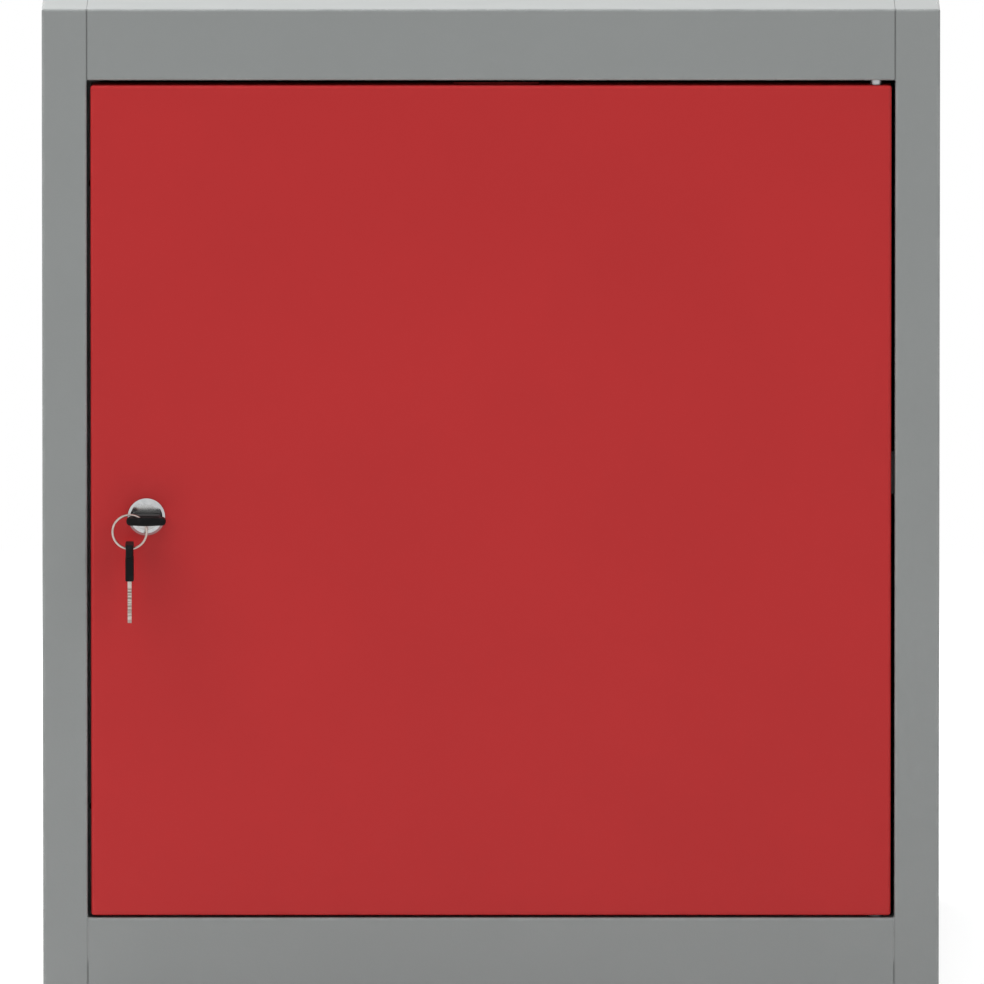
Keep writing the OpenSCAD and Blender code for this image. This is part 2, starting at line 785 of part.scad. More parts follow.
module blade() {
    notches = [0.8, 1.4, 0.6, 1.1, 0.9];
    flat = 0.4;
    notch_pitch = 3.3;
    first = 5.5;
    tip = 2.2;
    groove_w = 1.6;
    groove_t = 0.5;
    half = blade_w / 2;
    difference() {
        union() {
            translate([0, 0, -blade_t / 2]) linear_extrude(height = blade_t) difference() {
                polygon([[-half, 0], [half, 0], [half, blade_l - tip], [half - tip, blade_l],
                         [tip - half, blade_l], [-half, blade_l - tip]]);
                for (i = [0 : len(notches) - 1]) for (side = [-1, 1]) {
                    cut = notches[side > 0 ? i : len(notches) - 1 - i];
                    y = first + i * notch_pitch;
                    polygon([[side * (half + overrun), y - cut - overrun - flat],
                             [side * (half - cut), y - flat], [side * (half - cut), y + flat],
                             [side * (half + overrun), y + cut + overrun + flat]]);
                }
            }
            block([-tang_w / 2, -tang_l, -blade_t / 2], [tang_w / 2, overrun, blade_t / 2]);
        }
        for (face = [-1, 1]) translate([face * groove_w / 2, 0, face * blade_t / 2])
            block([-groove_w / 2, overrun, -groove_t], [groove_w / 2, blade_l + overrun, groove_t]);
    }
}

// The moulded bow: a lens-shaped section, cut to its outline, with a slot for the ring.
module bow() {
    slot_y = end_web - bow_l;
    tang_gap = running_gap;
    difference() {
        intersection() {
            rotate([90, 0, 0]) linear_extrude(height = bow_l) bow_section();
            translate([0, 0, -bow_t]) linear_extrude(height = 2 * bow_t) bow_outline();
        }
        translate([-slot_half, slot_y, -bow_t]) linear_extrude(height = 2 * bow_t)
            rounded_rect([2 * slot_half, slot_l], slot_l / 2 - hole_gap);
        for (face = [0, 1]) mirror([0, 0, face])
            translate([-slot_half - slot_step, slot_y - slot_step, bow_edge_t / 2 - slot_step])
                linear_extrude(height = bow_t)
                    rounded_rect([2 * (slot_half + slot_step), slot_l + 2 * slot_step],
                                 slot_l / 2 - hole_gap);
        block([-tang_w / 2 - tang_gap, -tang_l - tang_gap, -blade_t / 2 - tang_gap],
              [tang_w / 2 + tang_gap, overrun, blade_t / 2 + tang_gap]);
    }
}

module bow_section() {
    edge_round = bow_edge_t / 2 - hole_gap;
    rise = (bow_t - bow_edge_t) / 2;
    lens_r = (slot_half * slot_half + rise * rise) / (2 * rise);
    translate([-bow_w / 2, -bow_edge_t / 2]) rounded_rect([bow_w, bow_edge_t], edge_round);
    intersection() {
        translate([0, bow_t / 2 - lens_r]) circle(r = lens_r, $fn = 192);
        translate([0, lens_r - bow_t / 2]) circle(r = lens_r, $fn = 192);
        square([2 * slot_half, 2 * bow_t], center = true);
    }
}

// A bar across the outer end, and a narrower body that tapers towards the blade.
module bow_outline() {
    corner = 2.2;
    bar_l = end_web + slot_l + 0.5;
    body_y = bar_l - bow_l;
    translate([-bow_w / 2, -bow_l]) rounded_rect([bow_w, bar_l], corner);
    polygon([[-bow_neck_w / 2, 0], [-bow_body_w / 2, body_y], [-bow_body_w / 2, body_y - corner],
             [bow_body_w / 2, body_y - corner], [bow_body_w / 2, body_y], [bow_neck_w / 2, 0]]);
}

module at_key() {
    in_place() translate([lock_x, bow_y, lock_z]) children();
}

module at_spare_key() {
    in_place() translate([ring_x, ring_y, ring_z - spare_top - bow_l]) rotate([-90, 0, 90]) children();
}

module key_blade() { color(nickel) at_key() blade(); }
module key_bow() { color(black_plastic) at_key() bow(); }
module spare_key_blade() { color(nickel) at_spare_key() blade(); }
module spare_key_bow() { color(black_plastic) at_spare_key() bow(); }

// The ring goes around one end of the key's slot and through the spare key's slot.
module key_ring() {
    opening = 2;
    color(nickel) in_place() translate([ring_x, ring_y, ring_z]) rotate([90, 0, 0])
        rotate([0, 0, 180 + opening / 2]) rotate_extrude(angle = 360 - opening)
            translate([ring_r, 0]) circle(d = wire_d);
}

side_panel_left();
side_panel_right();
top_panel();
bottom_panel();
back_panel();
upright_front_left();
upright_front_right();
upright_rear_left();
upright_rear_right();
shelf();
clip_front_left();
clip_front_right();
clip_rear_left();
clip_rear_right();
foot_front_left();
foot_front_right();
foot_rear_left();
foot_rear_right();
foot_nuts();
door_buffers();
hinge_pin_top();
hinge_nut();
hinge_pin_bottom();
door_panel();
door_channel();
hinge_plate_top();
hinge_plate_bottom();
hinge_bush_top();
hinge_bush_bottom();
lock_body();
lock_nut();
lock_plug();
lock_cam();
cam_washer();
cam_screw();
key_blade();
key_bow();
key_ring();
spare_key_blade();
spare_key_bow();
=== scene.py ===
import math

import bmesh
import bpy
from mathutils import Matrix, Vector


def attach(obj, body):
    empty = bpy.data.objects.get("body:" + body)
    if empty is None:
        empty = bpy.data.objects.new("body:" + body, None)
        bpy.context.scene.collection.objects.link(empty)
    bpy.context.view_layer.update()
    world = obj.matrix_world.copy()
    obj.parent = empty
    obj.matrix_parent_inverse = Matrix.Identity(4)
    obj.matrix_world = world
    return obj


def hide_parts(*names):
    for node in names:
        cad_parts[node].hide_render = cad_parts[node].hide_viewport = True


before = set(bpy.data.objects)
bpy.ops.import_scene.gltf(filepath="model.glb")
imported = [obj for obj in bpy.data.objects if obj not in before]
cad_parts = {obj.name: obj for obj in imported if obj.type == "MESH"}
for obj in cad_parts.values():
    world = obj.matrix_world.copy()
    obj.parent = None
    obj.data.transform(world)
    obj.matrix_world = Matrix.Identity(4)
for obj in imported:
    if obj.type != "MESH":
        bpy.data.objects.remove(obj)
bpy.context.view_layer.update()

# ---- Carcass ----
# The side panels, top, floor and back are folded from 1 mm sheet steel and spot-welded to
# one another. The whole carcass is powder-coated afterwards in a fine satin grey.

GREY = (0.18, 0.191, 0.1885, 1)
GREY_EDGE = (0.27, 0.28, 0.275, 1)
GREY_SHINE = 0.8
CARCASS_HALF = (250, 250, 275)
CARCASS_MIDDLE = (0, 15.5, 290)
OPENING_HALF = (225, 235)
FOLD_WIDTH = 2.5
INSIDE_FROM = -217
BACK_FACE = 262
WELD_PITCH = 80
WELD_ROW = 237.5


class Wire:
    """A value in a finish. Arithmetic on it adds the Math nodes that work it out."""

    def __init__(self, finish, socket):
        self.finish = finish
        self.socket = socket

    def other(self, name):
        return Wire(self.finish, self.socket.node.outputs[name])

    def maths(self, operation, *values):
        return self.finish.node("ShaderNodeMath", {"operation": operation}, dict(enumerate(values)))

    def __add__(self, more):
        return self.maths("ADD", self, more)

    def __radd__(self, more):
        return self.maths("ADD", more, self)

    def __sub__(self, less):
        return self.maths("SUBTRACT", self, less)

    def __rsub__(self, whole):
        return self.maths("SUBTRACT", whole, self)

    def __mul__(self, times):
        return self.maths("MULTIPLY", self, times)

    def __mod__(self, pitch):
        return self.maths("FLOORED_MODULO", self, pitch)

    def __abs__(self):
        return self.maths("ABSOLUTE", self)

    def or_more(self, limit):
        return self.maths("MAXIMUM", self, limit)

    def rise(self, low, high):
        """0 below low and 1 above high, with a smooth slope between them."""
        return self.finish.node("ShaderNodeMapRange", {"interpolation_type": "SMOOTHSTEP"},
                                {"Value": self, "From Min": low, "From Max": high})

    def near(self, place, width):
        """1 at a place, and 0 from a width away on."""
        return 1 - abs(self - place).rise(0, width)


class Finish:
    """A material whose patterns are measured in millimetres from the cabinet's origin."""

    def __init__(self, name):
        self.material = bpy.data.materials.new(name)
        self.material.use_nodes = True
        self.material.node_tree.nodes.clear()
        metres = self.node("ShaderNodeTexCoord", {}, {}, "Object")
        self.place = self.node("ShaderNodeMapping", {},
                               {"Vector": metres, "Scale": (1000, 1000, 1000)})
        parts = self.node("ShaderNodeSeparateXYZ", {}, {"Vector": self.place})
        self.x, self.y, self.z = (parts.other(axis) for axis in "XYZ")

    def node(self, kind, settings, sockets, gives=0):
        tree = self.material.node_tree
        made = tree.nodes.new(kind)
        for name, value in settings.items():
            setattr(made, name, value)
        for name, value in sockets.items():
            if isinstance(value, Wire):
                tree.links.new(value.socket, made.inputs[name])
            else:
                made.inputs[name].default_value = value
        return Wire(self, made.outputs[gives]) if made.outputs else None

    def grain(self, size, detail=2.0, stretch=(1, 1, 1)):
        """A noise from 0 to 1 whose lumps are about size millimetres wide."""
        place = self.node("ShaderNodeMapping", {}, {"Vector": self.place, "Scale": stretch})
        return self.node("ShaderNodeTexNoise", {},
                         {"Vector": place, "Scale": 1 / size, "Detail": detail})

    def tint(self, mask, first, second):
        """The first colour where the mask is 0, and the second where it is 1."""
        return self.node("ShaderNodeMix", {"data_type": "RGBA"}, {0: mask, 6: first, 7: second}, 2)

    def relief(self, height):
        """A bump of that height in millimetres."""
        return self.node("ShaderNodeBump", {}, {"Height": height, "Distance": 0.001})

    def surface(self, **sockets):
        """Joins the surface to the material. A socket is named in words_with_underscores."""
        named = {name.replace("_", " "): value for name, value in sockets.items()}
        shader = self.node("ShaderNodeBsdfPrincipled", {}, named)
        self.node("ShaderNodeOutputMaterial", {}, {"Surface": shader})
        return self.material


def shade(colour, amount):
    return tuple(part * amount for part in colour[:3]) + (1,)


def box_folds(finish, middle, half):
    """1 along the twelve folds of a box of sheet, in millimetres."""
    close = [abs(part - centre).near(reach, FOLD_WIDTH)
             for part, centre, reach in zip((finish.x, finish.y, finish.z), middle, half)]
    along_z = close[0] * close[1]
    along_x = close[1] * close[2]
    along_y = close[0] * close[2]
    return along_x.or_more(along_y).or_more(along_z)


def powder_coat(finish, colour, edge_colour, shine, folds, seam_shade=0.0, thin=0.0, extra_height=0.0):
    """Satin powder coat: fine orange peel, a slow change of tone, a polished line on the folds, a
    painted dark line of shade where two sheets meet, and a dull, dry surface where the coat is
    thin."""
    cloud = finish.grain(90, 3)
    peel = finish.grain(1.3, 2)
    speck = finish.grain(0.45, 1)
    tone = (cloud * 0.7 + speck * 0.3).rise(0.25, 0.75)
    coat = finish.tint(tone, shade(colour, 0.975), shade(colour, 1.025))
    rubbed = folds * finish.grain(14, 3).rise(0.38, 0.62) * 0.35
    height = (peel - 0.5) * 0.03 + (speck - 0.5) * 0.006 + (cloud - 0.5) * 0.25 + extra_height
    coat = finish.tint(rubbed, coat, edge_colour)
    # Where the seam mask is set, the colour is darkened: painted shade in the joint between sheets.
    return finish.surface(
        Base_Color=finish.tint(seam_shade, coat, shade(colour, 0.45)),
        Roughness=0.27 + finish.grain(35, 3) * 0.08 - rubbed * 0.15 + thin * 0.35,
        Specular_IOR_Level=shine,
        Normal=finish.relief(height))


def dress(material, *names):
    """Gives CAD nodes their material."""
    for name in names:
        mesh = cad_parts[name].data
        mesh.materials.clear()
        mesh.materials.append(material)


def carcass_coat():
    finish = Finish("grey powder coat on the carcass")
    half_x, half_z = OPENING_HALF
    folds = box_folds(finish, CARCASS_MIDDLE, CARCASS_HALF)
    front = (finish.y - CARCASS_MIDDLE[1]).near(-CARCASS_HALF[1], FOLD_WIDTH)
    across, up = abs(finish.x), abs(finish.z - CARCASS_MIDDLE[2])
    stile_fold = across.near(half_x, FOLD_WIDTH) * (1 - up.rise(half_z - 1, half_z + 1))
    rail_fold = up.near(half_z, FOLD_WIDTH) * (1 - across.rise(half_x - 1, half_x + 1))
    folds = folds.or_more(front * stile_fold.or_more(rail_fold))
    # The dark line along the joints of stiles and rails is painted shade in the seam.
    seam_shade = front * across.near(half_x, 0.9) * up.rise(half_z, half_z + 0.6) * 0.8
    # The powder hardly gets inside, so the coat is thin there.
    back = finish.y.rise(BACK_FACE, BACK_FACE + 1)
    depth = finish.y.rise(INSIDE_FROM, INSIDE_FROM + 3) * (1 - back)
    within_sides = 1 - across.rise(CARCASS_HALF[0] - 0.8, CARCASS_HALF[0] - 0.2)
    within_height = 1 - up.rise(CARCASS_HALF[2] - 0.8, CARCASS_HALF[2] - 0.2)
    inside = depth * within_sides * within_height
    # Spot welds show as shallow dimples where the back panel lies on the rear flanges.
    step = (finish.z % WELD_PITCH) - WELD_PITCH / 2
    side_row = across - WELD_ROW
    span = step * step + side_row * side_row
    weld = (1 - span.rise(3.0, 9.0)) * back
    return powder_coat(finish, GREY, GREY_EDGE, GREY_SHINE, folds, seam_shade, inside, weld * -0.12)


dress(carcass_coat(),
      "side_panel_left", "side_panel_right", "top_panel", "bottom_panel", "back_panel")

# ---- Uprights, clips and shelf ----
# Four hat sections with a row of slots are welded to the side panels. The shelf, a pan turned
# upside down, lies on four bent clips of zinc-plated strip and can be moved up or down.

SLOT_PITCH = 25
UPRIGHT_FOOT_Z = 55
SHELF_MIDDLE = (0, 26, 300.5)
SHELF_HALF = (236.5, 223.5, 12.5)
SHELF_TOP = 313
ZINC = (0.60, 0.61, 0.62, 1)
ZINC_DULL = (0.47, 0.48, 0.50, 1)


def upright_coat():
    """The coat is scratched to a lighter grey below the slots, where clips are hung in and out."""
    finish = Finish("grey powder coat on the uprights")
    below_slot = ((finish.z - UPRIGHT_FOOT_Z) % SLOT_PITCH).near(SLOT_PITCH - 2, 3.5)
    scratch = below_slot * finish.grain(2.2, 2, (1, 3, 0.6)).rise(0.5, 0.66)
    return powder_coat(finish, GREY, GREY_EDGE, GREY_SHINE, scratch)


def shelf_coat():
    """The top of the shelf has the long, faint scuffs of boxes that were pushed in."""
    finish = Finish("grey powder coat on the shelf")
    folds = box_folds(finish, SHELF_MIDDLE, SHELF_HALF)
    top = finish.z.rise(SHELF_TOP - 1, SHELF_TOP - 0.2)
    scuff = top * finish.grain(6, 3, (1, 0.06, 1)).rise(0.6, 0.72) * 0.35
    return powder_coat(finish, GREY, GREY_EDGE, GREY_SHINE, folds.or_more(scuff))


def zinc_plate(name, thread=None):
    """Bright zinc with a faint mottle, and with the height of a thread where there is one."""
    finish = Finish(name)
    mottle = finish.grain(2.4, 3)
    cloud = finish.grain(9, 2)
    fine = finish.grain(0.25, 2)
    height = (fine - 0.5) * 0.012 + (mottle - 0.5) * 0.01
    if thread:
        height = height + thread(finish)
    return finish.surface(
        Base_Color=finish.tint((mottle * 0.6 + cloud * 0.4).rise(0.3, 0.7), ZINC_DULL, ZINC),
        Metallic=1.0,
        Roughness=0.3 + mottle * 0.12 + cloud * 0.06,
        Normal=finish.relief(height))


dress(upright_coat(),
      "upright_front_left", "upright_front_right", "upright_rear_left", "upright_rear_right")
dress(shelf_coat(), "shelf")
dress(zinc_plate("bright zinc plate"),
      "clip_front_left", "clip_front_right", "clip_rear_left", "clip_rear_right",
      "foot_nuts", "hinge_nut", "lock_nut", "lock_cam", "cam_washer", "cam_screw")

# ---- Feet ----
# Each foot is a black moulded glide with a fluted grip, moulded round a zinc-plated M8 stud
# that is screwed up through the bottom flange and held by a nut inside.

MM = 0.001
FOOT_X = 237
FOOT_Y = (-192.5, 223.5)
FOOT_R = 12
FOOT_H = 15
SOLE_H = 1.5
GRIP_H = 6
NECK_H = 6
RIBS = 24
STUD_R = 4
STUD_LOW = 14.5
STUD_TOP = 24.5
STUD_BEVEL = 0.8
STUD_PITCH = 1.25
FOOT_BLACK = (0.018, 0.018, 0.019, 1)
FOOT_WORN = (0.05, 0.05, 0.052, 1)


def start(add, **shape):
    """Adds a primitive, with its place in its mesh, and opens it for editing."""
    bpy.ops.object.select_all(action="DESELECT")
    add(**shape)
    bpy.ops.object.transform_apply(location=True, rotation=True, scale=True)
    bpy.ops.object.mode_set(mode="EDIT")
    return bpy.context.object


def pick(piece, wanted):
    """Selects the faces for which wanted(middle in millimetres, normal) is true."""
    bpy.ops.mesh.select_mode(type="FACE")
    bpy.ops.mesh.select_all(action="DESELECT")
    shape = bmesh.from_edit_mesh(piece.data)
    for face in shape.faces:
        face.select_set(bool(wanted(face.calc_center_median() / MM, face.normal)))
    bmesh.update_edit_mesh(piece.data)


def raise_face(up, size, centre):
    """Extrudes the picked face by so many millimetres in Z, and scales its end about the axis."""
    bpy.ops.mesh.extrude_region_move(TRANSFORM_OT_translate={"value": (0, 0, up * MM)})
    bpy.ops.transform.resize(value=(size, size, 1), center_override=centre)


def close_up(piece, material, angle, bevel=None):
    """Ends the editing: outward normals, a small bevel on the sharp edges, smooth shading."""
    bpy.ops.mesh.select_all(action="SELECT")
    bpy.ops.mesh.remove_doubles(threshold=0.000005)
    bpy.ops.mesh.normals_make_consistent(inside=False)
    bpy.ops.object.mode_set(mode="OBJECT")
    if bevel:
        edge = piece.modifiers.new("edges", "BEVEL")
        edge.width = bevel * MM
        edge.segments = 2
        edge.limit_method = "ANGLE"
        edge.angle_limit = math.radians(angle)
        bpy.ops.object.modifier_apply(modifier=edge.name)
    bpy.ops.object.shade_smooth_by_angle(angle=math.radians(angle))
    piece.data.materials.clear()
    piece.data.materials.append(material)


def copy_of(piece, name, x=0, y=0, z=0):
    """A copy with its own mesh, moved by so many millimetres."""
    twin = piece.copy()
    twin.data = piece.data.copy()
    twin.name = name
    twin.data.transform(Matrix.Translation((x * MM, y * MM, z * MM)))
    bpy.context.scene.collection.objects.link(twin)
    return twin


def foot_plastic():
    finish = Finish("moulded foot")
    grain = finish.grain(0.35, 2)
    rim = (1 - finish.z.rise(0.4, 2.2)) * finish.grain(1.5, 3).rise(0.4, 0.62)
    return finish.surface(
        Base_Color=finish.tint(rim, FOOT_BLACK, FOOT_WORN),
        Roughness=0.46 + grain * 0.14 + rim * 0.2,
        Specular_IOR_Level=0.4,
        Normal=finish.relief((grain - 0.5) * 0.02))


def screw_thread(centre_x, centre_y, pitch):
    """The height of a thread with a vertical axis: a crest that climbs one pitch a turn."""
    def height(finish):
        turn = finish.node("ShaderNodeMath", {"operation": "ARCTAN2"},
                           {0: abs(finish.y - centre_y), 1: finish.x - centre_x})
        climb = (finish.z - turn * (pitch / (2 * math.pi))) % pitch
        return abs(climb - pitch / 2) * 0.9
    return height


def mould_foot(x, y):
    centre = (x * MM, y * MM, 0)
    grip_top = SOLE_H + GRIP_H
    facet = 180 / RIBS
    glide = start(bpy.ops.mesh.primitive_cylinder_add, vertices=2 * RIBS, radius=FOOT_R * MM,
                  depth=GRIP_H * MM, location=(x * MM, y * MM, (SOLE_H + GRIP_H / 2) * MM))
    pick(glide, lambda middle, normal: normal.z < -0.9)
    raise_face(-SOLE_H, 1 - SOLE_H / FOOT_R, centre)
    bpy.ops.mesh.inset(thickness=2.4 * MM)
    raise_face(0.8, 0.97, centre)
    pick(glide, lambda middle, normal: normal.z > 0.9 and middle.z > SOLE_H + GRIP_H / 2)
    raise_face(NECK_H, 0.75, centre)
    raise_face(FOOT_H - grip_top - NECK_H, 1, centre)
    # Every other facet of the grip is sunk, which leaves the ribs.
    pick(glide, lambda middle, normal: SOLE_H + 0.1 < middle.z < grip_top - 0.1
         and abs(normal.z) < 0.1
         and round(math.degrees(math.atan2(middle.y - y, middle.x - x)) / facet - 0.5) % 2 == 0)
    bpy.ops.mesh.inset(thickness=0.22 * MM, use_individual=True)
    bpy.ops.mesh.extrude_region_shrink_fatten(TRANSFORM_OT_shrink_fatten={"value": -0.45 * MM})
    glide.name = "foot_glide"
    close_up(glide, foot_plastic(), 40, 0.15)
    return glide


def turn_stud(x, y):
    shank_top = STUD_TOP - STUD_BEVEL
    stud = start(bpy.ops.mesh.primitive_cylinder_add, vertices=32, radius=STUD_R * MM,
                 depth=(shank_top - STUD_LOW) * MM,
                 location=(x * MM, y * MM, (shank_top + STUD_LOW) / 2 * MM))
    pick(stud, lambda middle, normal: normal.z > 0.9)
    raise_face(STUD_BEVEL, 1 - STUD_BEVEL / STUD_R, (x * MM, y * MM, 0))
    stud.name = "foot_stud"
    close_up(stud, zinc_plate("zinc stud", screw_thread(x, y, STUD_PITCH)), 30)
    return stud


first_foot = mould_foot(-FOOT_X, FOOT_Y[0])
first_stud = turn_stud(-FOOT_X, FOOT_Y[0])
for row, y in zip(("front", "rear"), FOOT_Y):
    for side, x in (("left", -FOOT_X), ("right", FOOT_X)):
        for first, kind, finish_slot in ((first_foot, "foot", "foot_plastic"),
                                         (first_stud, "stud", "zinc_plate")):
            piece = copy_of(first, f"{kind}_{row}_{side}_dressed", x + FOOT_X, y - FOOT_Y[0])
            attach(piece, "carcass")
            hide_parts(f"foot_{row}_{side}")
bpy.data.objects.remove(first_foot)
bpy.data.objects.remove(first_stud)

# ---- Hinge ----
# The door turns on two plated pins, one under the top rail and one up through the floor. Each
# runs in a black nylon bush that is pressed through a bent plate welded into the door's corner.

HINGE_X = 214.5
HINGE_Y = -227.5
HINGE_PITCH = 1
RAIL_TOP_Z = 526
NYLON = (0.022, 0.022, 0.023, 1)
NYLON_DULL = (0.045, 0.045, 0.045, 1)


def nylon():
    finish = Finish("black nylon")
    cloud = finish.grain(3, 3)
    grain = finish.grain(0.3, 2)
    return finish.surface(
        Base_Color=finish.tint(cloud.rise(0.35, 0.7), NYLON, NYLON_DULL),
        Roughness=0.42 + grain * 0.1,
        Coat_Weight=0.05,
        Normal=finish.relief((grain - 0.5) * 0.012))


def pin_thread(finish):
    """The upper pin is threaded only above the rail, where its nut holds it."""
    above_rail = finish.z.rise(RAIL_TOP_Z, RAIL_TOP_Z + 0.5)
    return screw_thread(HINGE_X, HINGE_Y, HINGE_PITCH)(finish) * above_rail


dress(zinc_plate("zinc hinge pin", pin_thread), "hinge_pin_top")
dress(zinc_plate("zinc pivot"), "hinge_pin_bottom")
dress(nylon(), "hinge_bush_top", "hinge_bush_bottom")

# ---- Door ----
# A pan of 1 mm sheet with all four edges folded back and in again, stiffened by an upright
# channel glued to the skin. Door, channel and hinge plates are powder-coated red.

RED = (0.374, 0.0178, 0.0188, 1)
RED_EDGE = (0.47, 0.032, 0.033, 1)
RED_SHINE = 0.2
DOOR_MIDDLE = (0, -224.5, 289.2)
DOOR_HALF = (223, 10, 233)
DOOR_FRONT = -234.5
LOCK_X = -192
LOCK_Z = 280.5


def door_coat():
    finish = Finish("red powder coat")
    folds = box_folds(finish, DOOR_MIDDLE, DOOR_HALF)
    # The lock is turned by hand, so the coat round it is a little polished.
    across, up = finish.x - LOCK_X, finish.z - LOCK_Z
    handled = 1 - (across * across + up * up).rise(100, 1500)
    front = 1 - finish.y.rise(DOOR_FRONT + 0.1, DOOR_FRONT + 0.5)
    rubbed = handled * front * finish.grain(8, 3).rise(0.45, 0.65) * 0.3
    return powder_coat(finish, RED, RED_EDGE, RED_SHINE, folds.or_more(rubbed))


dress(door_coat(), "door_panel", "door_channel", "hinge_plate_top", "hinge_plate_bottom")

# ---- Door buffers ----
# Two domed pads of soft black rubber are stuck to the stop lip on the lock side. The door's
# rear edge comes to rest on them.

BUFFER_R = 2.75
BUFFER_X = -221.5
BUFFER_FRONT = -214.2
BUFFER_BACK = -212.5
BUFFER_Z = (115, 465)
RUBBER = (0.016, 0.016, 0.016, 1)
RUBBER_BLOOM = (0.045, 0.045, 0.047, 1)


def rubber():
    finish = Finish("black rubber")
    bloom = finish.grain(2.5, 3)
    grain = finish.grain(0.2, 2)
    return finish.surface(
        Base_Color=finish.tint(bloom.rise(0.45, 0.75), RUBBER, RUBBER_BLOOM),
        Roughness=0.72 + grain * 0.15,
        Specular_IOR_Level=0.35,
        Normal=finish.relief((grain - 0.5) * 0.02))


def mould_buffer(z):
    middle_y = (BUFFER_FRONT + BUFFER_BACK) / 2
    pad = start(bpy.ops.mesh.primitive_cylinder_add, vertices=32, radius=BUFFER_R * MM,
                depth=(BUFFER_BACK - BUFFER_FRONT) * MM, rotation=(math.pi / 2, 0, 0),
                location=(BUFFER_X * MM, middle_y * MM, z * MM))
    pick(pad, lambda middle, normal: normal.y < -0.9)
    bpy.ops.mesh.bevel(offset=1.1 * MM, segments=5, affect="EDGES")
    pad.name = "buffer"
    close_up(pad, rubber(), 40)
    return pad


low_pad = mould_buffer(BUFFER_Z[0])
high_pad = copy_of(low_pad, "buffer_upper", z=BUFFER_Z[1] - BUFFER_Z[0])
for pad in (low_pad, high_pad):
    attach(pad, "carcass")
    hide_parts("door_buffers")

# ---- Lock ----
# A cam lock: a chrome-plated zinc casting with a bevelled head and a threaded barrel with two
# flats, held behind the skin by a nut. The nickel-plated plug turns in it and carries the cam.

LOCK_FRONT = DOOR_FRONT - 3
BARREL_PITCH = 1.0
CHROME = (0.57, 0.575, 0.58, 1)
CHROME_DIM = (0.49, 0.495, 0.50, 1)
NICKEL = (0.63, 0.56, 0.52, 1)
NICKEL_DULL = (0.47, 0.40, 0.36, 1)
PLUG_NICKEL = (0.56, 0.56, 0.555, 1)
PLUG_DULL = (0.47, 0.47, 0.465, 1)


def lock_chrome():
    finish = Finish("bright chrome plate")
    haze = finish.grain(3.5, 3)
    fine = finish.grain(0.18, 2)
    across, up = finish.x - LOCK_X, finish.z - LOCK_Z
    turn = finish.node("ShaderNodeMath", {"operation": "ARCTAN2"}, {0: up, 1: across})
    climb = (finish.y - turn * (BARREL_PITCH / (2 * math.pi))) % BARREL_PITCH
    barrel = finish.y.rise(DOOR_FRONT + 0.9, DOOR_FRONT + 1.3)
    thread = abs(climb - BARREL_PITCH / 2) * 0.8 * barrel
    # Keys that missed the slot have left short scratches on the face round the plug.
    face = 1 - finish.y.rise(LOCK_FRONT + 0.05, LOCK_FRONT + 0.3)
    near_plug = 1 - (across * across + up * up).rise(45, 85)
    scratch = face * near_plug * finish.grain(0.5, 1, (0.25, 1, 1.6)).rise(0.62, 0.7)
    return finish.surface(
        Base_Color=finish.tint(haze.rise(0.3, 0.7), CHROME, CHROME_DIM),
        Metallic=1.0,
        Roughness=0.07 + haze * 0.05 + scratch * 0.2,
        Normal=finish.relief((fine - 0.5) * 0.002 - scratch * 0.01 + thread))


def nickel_plate(name, stretch, bright=NICKEL, dull=NICKEL_DULL, haze=0.2):
    """Nickel over milled brass: fine lines along the cut, and a warm, uneven shine."""
    finish = Finish(name)
    cloud = finish.grain(4, 3)
    line = finish.grain(0.22, 2, stretch)
    return finish.surface(
        Base_Color=finish.tint((cloud * 0.6 + line * 0.4).rise(0.3, 0.7), dull, bright),
        Metallic=1.0,
        Roughness=haze + line * 0.12 + cloud * 0.06,
        Normal=finish.relief((line - 0.5) * 0.012))


dress(lock_chrome(), "lock_body")
dress(nickel_plate("polished nickel plug", (1, 0.1, 1), PLUG_NICKEL, PLUG_DULL, 0.04),
      "lock_plug")

# ---- Keys ----
# Two flat keys of nickel-plated brass with milled grooves and five cuts. Each has a black bow
# moulded over its tang, with a slot across its end for the ring.

KEY_BLACK = (0.004, 0.004, 0.0044, 1)
KEY_RUBBED = (0.009, 0.009, 0.0097, 1)
RING_X = -201.2
BOW_VOXEL = 0.2
BOW_SOFTENING = 12
PARTING_WIDTH = 0.14


def key_black(name, parting):
    """A fine spark-eroded grain, paler where hands rub it, and the line where the mould parts."""
    finish = Finish(name)
    grain = finish.grain(0.16, 2)
    hand = finish.grain(3, 3)
    seam = parting(finish)
    return finish.surface(
        Base_Color=finish.tint(hand.rise(0.45, 0.75), KEY_BLACK, KEY_RUBBED),
        Roughness=0.38 + grain * 0.12 + hand * 0.08,
        Specular_IOR_Level=0.1,
        Normal=finish.relief((grain - 0.5) * 0.014 + seam * 0.03))


def mould_bow(node, body, material):
    """The bow as it leaves its mould: every corner of the solid is softened by a few tenths."""
    bow = bpy.data.objects.new(node + "_moulded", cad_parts[node].data.copy())
    bpy.context.scene.collection.objects.link(bow)
    bpy.ops.object.select_all(action="DESELECT")
    bow.select_set(True)
    bpy.context.view_layer.objects.active = bow
    bpy.ops.mesh.customdata_custom_splitnormals_clear()
    bpy.ops.object.mode_set(mode="EDIT")
    bpy.ops.mesh.select_all(action="SELECT")
    bpy.ops.mesh.remove_doubles(threshold=0.000005)
    bpy.ops.object.mode_set(mode="OBJECT")
    skin = bow.modifiers.new("skin", "REMESH")
    skin.mode = "VOXEL"
    skin.voxel_size = BOW_VOXEL * MM
    bpy.ops.object.modifier_apply(modifier=skin.name)
    soften = bow.modifiers.new("soften", "SMOOTH")
    soften.factor = 0.5
    soften.iterations = BOW_SOFTENING
    bpy.ops.object.modifier_apply(modifier=soften.name)
    bpy.ops.object.shade_smooth()
    bow.data.materials.clear()
    bow.data.materials.append(material)
    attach(bow, body)
    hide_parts(node)


